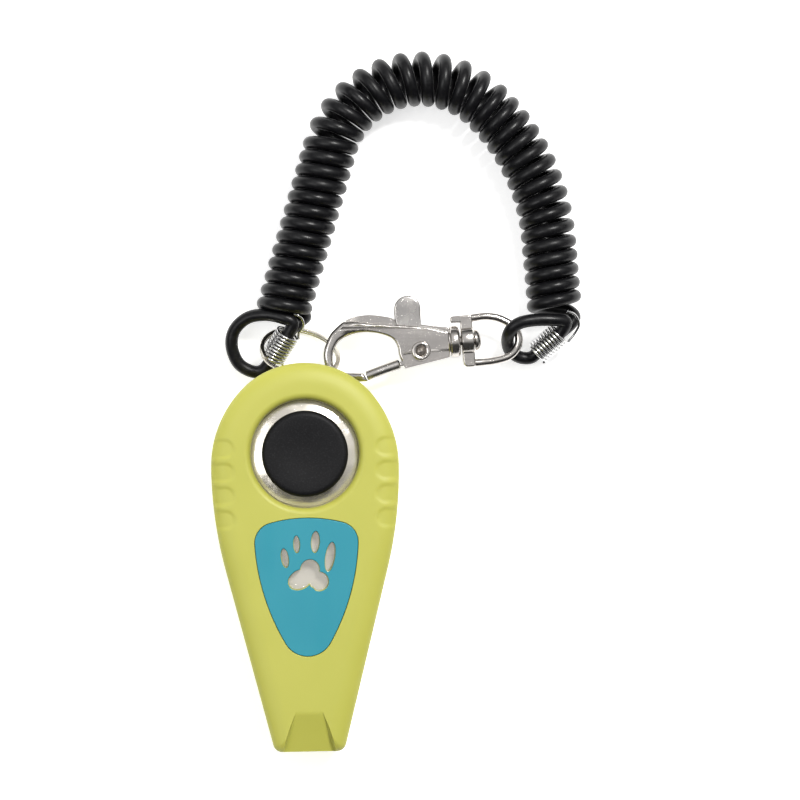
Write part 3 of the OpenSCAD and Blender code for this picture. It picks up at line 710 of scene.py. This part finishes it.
RING_OD, RING_W, RING_T, RING_TILT = 15.9, 0.85, 0.43, 53.5
RING_C = Vector((-0.52, 19.45, 6.7))
RING_TURN = -13.06
RING_U = Vector((cosd(RING_TURN), sind(RING_TURN), 0))
RING_V = Vector((-sind(RING_TURN) * cosd(RING_TILT), cosd(RING_TURN) * cosd(RING_TILT), -sind(RING_TILT)))


def split_ring():
    """Two flat turns with a crossing where the first steps over to the second."""
    rc = (RING_OD - RING_W) / 2
    normal = RING_U.cross(RING_V)
    crossing, step, start = 32, 2, 232
    path = []
    for a in range(crossing // 2, 720 - crossing // 2, step):
        s = (smooth((a - 360 + crossing / 2) / crossing) - 0.5) * (RING_T + 0.02)
        path.append(RING_C + rc * (cosd(a + start) * RING_U + sind(a + start) * RING_V) + s * normal)
    hw, ht, e = RING_W / 2, RING_T / 2, 0.14
    section = []
    for sx, sy, a0 in ((1, 1, 0), (-1, 1, 90), (-1, -1, 180), (1, -1, 270)):
        section += [(sx * (hw - e) + e * cosd(a0 + b), sy * (ht - e) + e * sind(a0 + b))
                    for b in (0, 30, 60, 90)]
    ring = sweep("split_ring_wire", path, [(p - RING_C).normalized() for p in path], section)
    return finish_piece(ring, "ring", ["split_ring"], RING, 40)


def lanyard_pin():
    end_r = PIN_R - PIN_CHAMFER
    pin = lathe("lanyard_pin_body", [(0, PIN_LOW), (end_r, PIN_LOW), (PIN_R, PIN_LOW + PIN_CHAMFER),
                                     (PIN_R, PIN_TOP - PIN_CHAMFER), (end_r, PIN_TOP), (0, PIN_TOP)], 48)
    shift(pin, PIN_XY[0], PIN_XY[1], 0)
    return finish_piece(pin, "pin", ["lanyard_pin"], ZINC, 40)


# ---------- coiled cord ----------

CORD_R, COIL_R, COIL_Z, COIL_TURNS = 1.25, 4.15, 5.5, 38
COIL_START, COIL_HEADING, COIL_FIRST = Vector((-3.78, 27.45)), 73, 90
COIL_RUNS = [(33.6, 0), (math.radians(18.3 * 73), 73), (math.radians(18.2 * 45), 45),
             (math.radians(41 * 41), 41), (13.6, 0)]


def direction(a):
    return Vector((cosd(a), sind(a)))


def run_point(p, h, run, s):
    """Place and heading at length s from the start of a run."""
    length, turn = run
    if turn == 0:
        return p + s * direction(h), h
    r = length / math.radians(turn)
    a = turn * s / length
    c = p + r * direction(h - 90)
    return c + r * direction(h + 90 - a), h - a


def inner_len(run):
    return run[0] - COIL_R * math.radians(run[1])


def coil_axis(q):
    """Point on the coil's middle line where the inner side has run a length q."""
    p, h = COIL_START, COIL_HEADING
    for i, run in enumerate(COIL_RUNS):
        if i == len(COIL_RUNS) - 1 or q <= inner_len(run):
            return run_point(p, h, run, q * run[0] / inner_len(run))
        q -= inner_len(run)
        p, h = run_point(p, h, run, run[0])


LEFT_CLAMP = (Vector((-4.28, 20.98, 4.89)), 56, 20)
RIGHT_CLAMP = (Vector((47.97, 20.6, 4.85)), 39.5, 13)
CLAMP_LEN, STRAND_GAP, CLAMP_WIRE_R, CLAMP_TURNS = 6.2, 1.29, 0.25, 9


def clamp_axes(clamp):
    c, turn, rise = clamp
    along = Vector((cosd(turn) * cosd(rise), sind(turn) * cosd(rise), sind(rise)))
    up = Vector((-cosd(turn) * sind(rise), -sind(turn) * sind(rise), cosd(rise)))
    return c, along, up


def strand(clamp, s, level):
    c, along, up = clamp_axes(clamp)
    return c + s * along + level * STRAND_GAP * up


def points(*rows):
    return [Vector(r) for r in rows]


def coil_cord():
    steps = 40
    total = sum(inner_len(r) for r in COIL_RUNS)
    coil, ups = [], []
    for k in range(steps * COIL_TURNS + 1):
        p, h = coil_axis(total * k / (steps * COIL_TURNS))
        a = COIL_FIRST + 360 * k / steps
        side = direction(h - 90)
        out = Vector((cosd(a) * side.x, cosd(a) * side.y, -sind(a)))
        coil.append(Vector((p.x, p.y, COIL_Z)) + COIL_R * out)
        ups.append(out)
    left = [strand(LEFT_CLAMP, s, 1) for s in (-2.4, 0, 2.6)] + points(
        (-1.9, 25.2, 7.8), (-3.7, 26.3, 7.9), (-7, 27, 7.1), (-10.6, 26.5, 5.8), (-13.2, 24.2, 4.6),
        (-13.8, 21.1, 3.8), (-12.6, 17.8, 3), (-10.0, 16.1, 2.6), (-7.7, 16.4, 2.5)) + [
        strand(LEFT_CLAMP, s, -1) for s in (-2.4, 0, 3)] + points(
        (-0.7, 25.5, 4.4), (0.6, 26.6, 3), (-0.6, 27.3, 1.75), (-2.3, 27.2, 1.37))
    right = points((50.6, 27.3, 1.37), (52.2, 27, 1.7), (53.3, 25.9, 2.6), (52.7, 24.5, 3.6)) + [
        strand(RIGHT_CLAMP, s, -1) for s in (2.9, 0, -2.5)] + points(
        (44.7, 17.9, 2.6), (42.5, 18, 2.7), (40.6, 19.3, 3.5), (39.95, 21.3, 5.6), (40.35, 23.1, 8),
        (42, 24.5, 8.9), (45, 25.1, 8.9), (48.6, 25.1, 8.7), (51.2, 24.6, 7.9)) + [
        strand(RIGHT_CLAMP, s, 1) for s in (2.8, 0, -2)]
    fine = 10
    first = spline(left + [coil[0]], fine)
    last = spline([coil[-1]] + right, fine)
    path = first + coil[1:-1] + last
    down = Vector((0, 0, -1))
    hints = [down] * len(first) + ups[1:-1] + [down] * len(last)
    cord = sweep("coil_cord_strand", path, hints, round_section(CORD_R, 20))
    return finish_piece(cord, "strap", ["coil_cord"], CORD, 40)


def cord_clamp(name, node, clamp, eye):
    """Wire wound round the two strands, ending in an eye round the bend of the cord."""
    c, along, up = clamp_axes(clamp)
    side = up.cross(along)
    rx, rz, n = 2.3, 2.85, 40
    wound = []
    for k in range(n * CLAMP_TURNS + 1):
        a = 180 + 360 * k / n
        s = CLAMP_LEN * (k / (n * CLAMP_TURNS) - 0.5)
        wound.append(c + s * along + rx * cosd(a) * side + rz * sind(a) * up)
    tail = spline([wound[-1]] + points(*eye), 10)
    path = wound[:-1] + tail
    wire = sweep(name, path, [along] * len(path), round_section(CLAMP_WIRE_R, 12))
    return finish_piece(wire, "strap", [node], WIRE, 40)


# ---------- snap hook ----------

RIVET = Vector((22.99, 19.47))
HOOK_Z, HOOK_TURN, SWIVEL_TURN = 6.1, -0.96, 5.0
SWIVEL_C = (6.4, 1.8)
HOOK_T, CROWN_T, SLOT_W, LEVER_T = 3.6, 2.6, 1.8, 1.6
TO_HOOK = (Matrix.Translation((RIVET.x * MM, RIVET.y * MM, HOOK_Z * MM))
           @ Matrix.Rotation(math.radians(HOOK_TURN), 4, "Z"))
TO_SWIVEL = (TO_HOOK @ Matrix.Translation((SWIVEL_C[0] * MM, SWIVEL_C[1] * MM, 0))
             @ Matrix.Rotation(math.radians(SWIVEL_TURN), 4, "Z"))
LATHE_TO_X = Matrix.Rotation(math.radians(90), 4, "Y")

HOOK_OUTER = [(-10.3, -5.9), (-13, -5.95), (-16.3, -5.45), (-18.3, -3.6), (-18.95, -0.8),
              (-18.4, 1.6), (-17.2, 3.8), (-14.2, 6.2), (-10.6, 7), (-7, 6.7), (-5.2, 6.2), (-3, 5.7),
              (1, 5.1), (5.6, 4.6)]
HOOK_UNDER = [(5.6, -1.2), (1, -2.4), (-3, -3.4)]
HOOK_INNER = [(-3.4, -2.6), (-4.2, -0.9), (-4.5, 0.7), (-5.25, 2.1), (-6.7, 2.95), (-8.9, 3.5),
              (-11.2, 3.6), (-13.7, 3.1), (-15.8, 2), (-16.9, 0.3), (-17.2, -1.6), (-16.75, -3.35),
              (-14.9, -4.15), (-13, -4.25), (-11.2, -4.3)]


# A mitre gets no longer than 1 / MITRE_MIN, and an inset side no shorter than SIDE_MIN of the outline's
MITRE_MIN, SIDE_MIN = 0.45, 0.05


def inward(ring):
    """Steps into a clockwise outline that move its sides in by 1, with limited mitres."""
    out = []
    for i in range(len(ring)):
        before = (ring[i] - ring[i - 1]).normalized()
        after = (ring[(i + 1) % len(ring)] - ring[i]).normalized()
        t = (before + after).normalized()
        out.append(Vector((t.y, -t.x)) / max(t.dot(before), MITRE_MIN))
    return out


def first_fold(line, edge):
    """Index of a point that passes its neighbour when the outline moves in by edge, or None."""
    inner = [p + n * edge(p.x, p.y) for p, n in zip(line, inward(line))]
    for i in range(len(line)):
        side = line[i] - line[i - 1]
        if (inner[i] - inner[i - 1]).dot(side) <= SIDE_MIN * side.dot(side):
            turns = [(line[j] - line[j - 1]).angle(line[(j + 1) % len(line)] - line[j], 0.0)
                     for j in (i - 1, i)]
            return i if turns[0] >= turns[1] else i - 1
    return None


def without_folds(ring, edge, change=Vector):
    """Leaves out the points that fold when a clockwise outline, or what change makes of it, moves in."""
    while True:
        folds = [first_fold(line, edge) for line in (ring, [change(p) for p in ring])]
        folds = [i for i in folds if i is not None]
        if not folds:
            return ring
        del ring[folds[0]]


def soft_slab(name, ring, half_t, edge, front=None, step_z=0.0):
    """Flat piece with a rounded edge. half_t and edge are functions of x and y, ring runs
    clockwise. From just below step_z the piece follows the outline front, which has as many points."""
    rings = []
    for sign, angles, line in ((-1, range(90, -1, -15), ring), (1, range(0, 91, 15), front or ring)):
        normals = inward(line)
        if sign == 1 and front:
            rings += [[(p.x, p.y, z) for p in edge_line]
                      for edge_line, z in ((ring, step_z - 5 * HAIR), (front, step_z - HAIR))]
        for a in angles:
            level = []
            for p, n in zip(line, normals):
                r = edge(p.x, p.y)
                q = p + n * r * (1 - cosd(a))
                level.append((q.x, q.y, sign * (half_t(p.x, p.y) - r * (1 - sind(a)))))
            rings.append(level)
    rings = [list(reversed(level)) for level in rings]
    return stack(name, rings, flat_caps=False)


def resample(ring, step):
    """Points at even spacing round a closed outline."""
    out = []
    for i, p in enumerate(ring):
        q = ring[(i + 1) % len(ring)]
        n = max(1, round((q - p).length / step))
        out += [p.lerp(q, j / n) for j in range(n)]
    return out


FRONT_CHEEK = [(-15.2, 5.5), (-12.8, 5.75), (-9.5, 5.35), (-5, 5.05), (0, 4.8), (5.7, 3.85)]
FRONT_STEP = [(-3.6, -0.55), (-2.5, -0.4), (-1, -0.25), (0.6, -0.1), (2, 0.05), (5.5, 0.25),
              (5.5, -4), (-3.6, -4)]
FRONT_STEP_T, RIVET_SEAT_R, RIVET_BORE_R = 0.5, 1.95, 1.35


def lowered(p):
    """A point of the hook's outline, brought down to the front cheek's lower top edge."""
    for (x0, y0), (x1, y1) in zip(FRONT_CHEEK, FRONT_CHEEK[1:]):
        if x0 <= p.x <= x1:
            return Vector((p.x, min(p.y, y0 + (y1 - y0) * smooth((p.x - x0) / (x1 - x0)))))
    return Vector(p)


def hook_frame():
    """Two cheeks with the gate's slot between them, a thinner crown and the swivel's collar."""
    ring = spline(HOOK_OUTER, 10) + [Vector(p) for p in HOOK_UNDER] + spline(HOOK_INNER, 10)
    crown = lambda x: smooth((-11.5 - x) / 3.5)
    edge = lambda x, y: 0.4 + 0.3 * smooth((-8 - x) / 5)
    ring = without_folds(resample(ring, 0.3), edge, lowered)
    body = soft_slab("hook_frame_body", ring,
                     lambda x, y: (HOOK_T - (HOOK_T - CROWN_T) * crown(x)) / 2, edge,
                     [lowered(p) for p in ring], SLOT_W / 2)
    slot = prism("tool", [Vector(p) for p in ((4.6, -6), (4.6, 12), (-5.5, 12), (-5.5, -6))],
                 -SLOT_W / 2, SLOT_W / 2)
    boolean(body, slot)
    # The step's wall leans back at 45 degrees, with the outline in the middle of its slope
    floor_z, slope = HOOK_T / 2 - FRONT_STEP_T, 2 * FRONT_STEP_T
    step = stack("tool", [[(x, y + rise - slope / 4 if y > -1 else y, floor_z + rise)
                           for x, y in reversed(FRONT_STEP)] for rise in (0, slope)])
    boolean(step, lathe("disc", [(0, 0), (RIVET_SEAT_R, 0), (RIVET_SEAT_R - 0.05, 5), (0, 5)], 96))
    boolean(body, step)
    boolean(body, lathe("tool", [(0, -5), (RIVET_BORE_R, -5), (RIVET_BORE_R, 5), (0, 5)], 64))
    place(body, TO_HOOK)
    collar = lathe("collar", [(0, -1.1), (2.5, -1.1), (2.6, -1.0), (2.6, -0.75), (2.85, -0.7),
                              (3.05, -0.5), (3.1, -0.2), (3.1, 0.6), (3.0, 0.9), (2.75, 1.12),
                              (2.5, 1.18), (1.15, 1.2), (1.15, -0.5), (0, -0.5)], 96)
    place(collar, TO_SWIVEL @ LATHE_TO_X)
    boolean(body, collar, "UNION")
    return finish_piece(body, "hook", ["hook_frame"], NICKEL, 35)


def swivel_pin():
    pin = lathe("swivel_pin_body", [(0, -0.5), (1.15, -0.5), (1.15, 4.1), (1.9, 4.1), (2.1, 4.25),
                                    (2.1, 4.5), (1.9, 4.85), (1.5, 5.12), (0.9, 5.32), (0, 5.4)], 96)
    place(pin, TO_SWIVEL @ LATHE_TO_X)
    return finish_piece(pin, "hook", ["swivel_pin"], NICKEL, 40)


BAIL_MID = [(2.6, 4.2), (4.8, 4.4), (7.2, 4.35), (9.6, 3.6), (11.9, 1.9), (12.75, -0.3),
            (12.1, -2.4), (10.3, -3.8), (7.6, -4.35), (4.8, -4.45), (2.6, -4.4)]


def swivel_bail():
    """D of round wire on a yoke, with a barrel that turns on the swivel pin."""
    path = [Vector((p.x, p.y, 0)) for p in spline(BAIL_MID, 12)]
    wire = sweep("swivel_bail_wire", path, [Vector((0, 0, 1))] * len(path), round_section(0.78, 20))
    yoke = [Vector(p) for p in ((1.5, -3.6), (1.6, -4.6), (2.1, -5.1), (3.4, -5.15), (3.9, -4.9),
                                (3.9, 4.9), (3.4, 5), (0.1, 5), (-0.3, 4.8), (-0.4, 4.4), (-0.3, 3.7),
                                (1.5, 3.6))]
    block = soft_slab("tool", list(reversed(yoke)), lambda x, y: 1.1, lambda x, y: 0.3)
    barrel = lathe("barrel", [(0, 1.5 - HAIR), (2.4, 1.5 - HAIR), (2.65, 1.65), (2.7, 1.9), (2.7, 3.5),
                              (2.65, 3.75), (2.4, 3.9 + HAIR), (0, 3.9 + HAIR)], 96)
    bore = lathe("bore", [(0, 0), (1.2, 0), (1.2, 6), (0, 6)], 96)
    place(barrel, LATHE_TO_X)
    place(bore, LATHE_TO_X)
    boolean(wire, block, "UNION")
    boolean(wire, barrel, "UNION")
    boolean(wire, bore)
    place(wire, TO_SWIVEL)
    return finish_piece(wire, "bail", ["swivel_bail"], NICKEL, 35)


def gate_rivet():
    """Hollow rivet with a rolled front rim and a closed, conical floor."""
    h = HOOK_T / 2
    profile = [(0, -h - 0.35), (1.6, -h - 0.35), (1.85, -h - 0.15), (1.85, -h), (1.35, -h), (1.35, h),
               (1.85, h), (1.85, h + 0.15), (1.75, h + 0.28), (1.6, h + 0.35), (1.3, h + 0.35),
               (1.12, h + 0.28), (1.05, h + 0.12), (0.95, 0), (0.75, -0.9), (0, -1.5)]
    rivet = lathe("gate_rivet_tube", profile, 96)
    place(rivet, TO_HOOK)
    return finish_piece(rivet, "hook", ["gate_rivet"], NICKEL, 40)


GATE_TIP, GATE_ROOT, GATE_ROD_R = Vector((-10.6, -4.86)), Vector((-4.05, -2.5)), 1.0


def gate_lever():
    """Lever between the cheeks: thumb tab above, round gate rod below."""
    tab_c = Vector((-2.65, 8.2))
    ring = (arc(tab_c, 2.6, 180, 0, 28) + [Vector(p) for p in (
        (-0.05, 6.9), (0.05, 5.2), (0.2, 4), (1.4, 3.0), (2.2, 1.6), (2.3, 0.2), (2.1, -0.9), (1.5, -1.75),
        (0.4, -2.25), (-2, -2.5), (-3.9, -3.0), (-4.2, -2.6), (-3.9, -1.9), (-2.9, -0.6), (-2.4, 0.5),
        (-2.5, 1.4), (-3.6, 3), (-4.6, 4.8), (-5.1, 6.2), (-5.25, 7.2))])
    ring = resample(ring, 0.35)
    plate = soft_slab("gate_lever_plate", ring, lambda x, y: LEVER_T / 2,
                      lambda x, y: 0.18 + 0.2 * smooth((y - 5) / 2))
    boolean(plate, lathe("tool", [(0, -5), (1.4, -5), (1.4, 5), (0, 5)], 64))
    rod_len = (GATE_ROOT - GATE_TIP).length
    r = GATE_ROD_R
    rod = lathe("rod", [(0, 0), (r - 0.15, 0), (r, 0.15), (r, rod_len - 0.3), (r - 0.3, rod_len),
                        (0, rod_len)], 64)
    turn = math.atan2(GATE_ROOT.y - GATE_TIP.y, GATE_ROOT.x - GATE_TIP.x)
    place(rod, Matrix.Translation((GATE_TIP.x * MM, GATE_TIP.y * MM, 0)) @ Matrix.Rotation(turn, 4, "Z")
          @ LATHE_TO_X)
    boolean(plate, rod, "UNION")
    place(plate, TO_HOOK)
    return finish_piece(plate, "gate", ["gate_lever"], GATE, 35)


def gate_spring():
    """Small coil between the cheeks that bends with the gate."""
    turns, n = 4, 24
    x0, x1, y, coil_r, wire_r = 2.55, 4.3, 2.6, 0.6, 0.13
    path = [Vector((x0 + (x1 - x0) * k / (n * turns), y + coil_r * cosd(360 * k / n),
                    coil_r * sind(360 * k / n))) for k in range(n * turns + 1)]
    wire = sweep("gate_spring_wire", path, [Vector((1, 0, 0))] * len(path), round_section(wire_r, 8))
    place(wire, TO_HOOK)
    wire.data.shade_smooth()
    wire.data.materials.append(ZINC)
    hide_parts("gate_spring")
    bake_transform(wire)


# ---------- build ----------

front_shell()
back_shell()
paw_plate()
click_plate()
button_cap()
lanyard_pin()
split_ring()
coil_cord()
cord_clamp("left_cord_clamp_wire", "left_cord_clamp", LEFT_CLAMP,
           [(-0.7, 23.3, 6.6), (0.2, 24.9, 7.5), (-0.35, 26.4, 8.3), (-1.6, 27, 8.5)])
cord_clamp("right_cord_clamp_wire", "right_cord_clamp", RIGHT_CLAMP,
           [(53.1, 22.4, 6.2), (53.9, 24.2, 7.2), (53, 26, 8.2), (51.4, 26.7, 8.9)])
hook_frame()
swivel_pin()
swivel_bail()
gate_rivet()
gate_lever()
gate_spring()

for node in ("plate_screws", "housing_screws", "button_retainer"):
    cad = frame["nodes"][node]
    cad.data.materials.clear()
    cad.data.materials.append(ZINC)

# ---------- stage ----------

CENTRE = Vector((18.71, 10.45, 8.0)) * MM
VIEW_W = 155.4 * MM
DISTANCE = 0.75
LEAN = 2.0


def floor():
    half = 1.5
    mesh = bpy.data.meshes.new("floor")
    corners = [(-half, -half, 0), (half, -half, 0), (half, half, 0), (-half, half, 0)]
    mesh.from_pydata(corners, [], [(0, 1, 2, 3)])
    obj = bpy.data.objects.new("floor", mesh)
    bpy.context.scene.collection.objects.link(obj)
    obj.location.z = -0.0001
    g = Graph("floor_paper")
    g.set(Base_Color=(0.93, 0.93, 0.93, 1), Roughness=0.9, Specular_IOR_Level=0.1,
          Emission_Color=(1, 1, 1, 1), Emission_Strength=0.62)
    obj.data.materials.append(g.material)


def area_light(name, place_at, size, power, colour=(1, 1, 1)):
    light = bpy.data.lights.new(name, "AREA")
    light.shape = "DISK"
    light.size = size
    light.energy = power
    light.color = colour
    obj = bpy.data.objects.new(name, light)
    bpy.context.scene.collection.objects.link(obj)
    obj.location = place_at
    aim = CENTRE - Vector(place_at)
    obj.rotation_euler = aim.to_track_quat("-Z", "Y").to_euler()
    return obj


def world():
    """Pale studio: bright above, dark towards the horizon and darker on the near side, so that
    the metal shows its form."""
    env = bpy.data.worlds.new("studio")
    bpy.context.scene.world = env
    env.use_nodes = True
    tree = env.node_tree
    coords = tree.nodes.new("ShaderNodeTexCoord")
    split = tree.nodes.new("ShaderNodeSeparateXYZ")
    tree.links.new(coords.outputs["Generated"], split.inputs["Vector"])
    ramp = tree.nodes.new("ShaderNodeValToRGB")
    stops = ramp.color_ramp.elements
    stops[0].position, stops[0].color = 0.0, (0.08, 0.08, 0.08, 1)
    stops[1].position, stops[1].color = 1.0, (0.95, 0.95, 0.96, 1)
    for position, value in ((0.15, 0.12), (0.35, 0.45), (0.6, 0.95), (0.85, 0.85)):
        stop = stops.new(position)
        stop.color = (value, value, value, 1)
    tree.links.new(split.outputs["Z"], ramp.inputs["Fac"])
    near = tree.nodes.new("ShaderNodeMapRange")
    near.interpolation_type = "SMOOTHSTEP"
    for name, value in (("From Min", -0.42), ("From Max", -0.02), ("To Min", 0.06), ("To Max", 0.64)):
        near.inputs[name].default_value = value
    tree.links.new(split.outputs["Y"], near.inputs["Value"])
    background = tree.nodes["Background"]
    tree.links.new(ramp.outputs["Color"], background.inputs["Color"])
    tree.links.new(near.outputs["Result"], background.inputs["Strength"])


floor()
world()
area_light("key", (0.26, 0.42, 0.72), 0.2, 5.8, (1.0, 0.99, 0.97))
area_light("fill", (-0.4, -0.02, 0.7), 0.45, 1.4)

camera_data = bpy.data.cameras.new("camera")
camera = bpy.data.objects.new("camera", camera_data)
bpy.context.scene.collection.objects.link(camera)
camera_data.sensor_width = 36.0
camera_data.lens = 36.0 * DISTANCE / VIEW_W
camera.location = CENTRE + DISTANCE * Vector((-sind(LEAN), 0, cosd(LEAN)))
camera.rotation_euler = (0.0, math.radians(-LEAN), math.radians(-0.96))
bpy.context.scene.camera = camera
bpy.context.scene.view_settings.view_transform = "Standard"
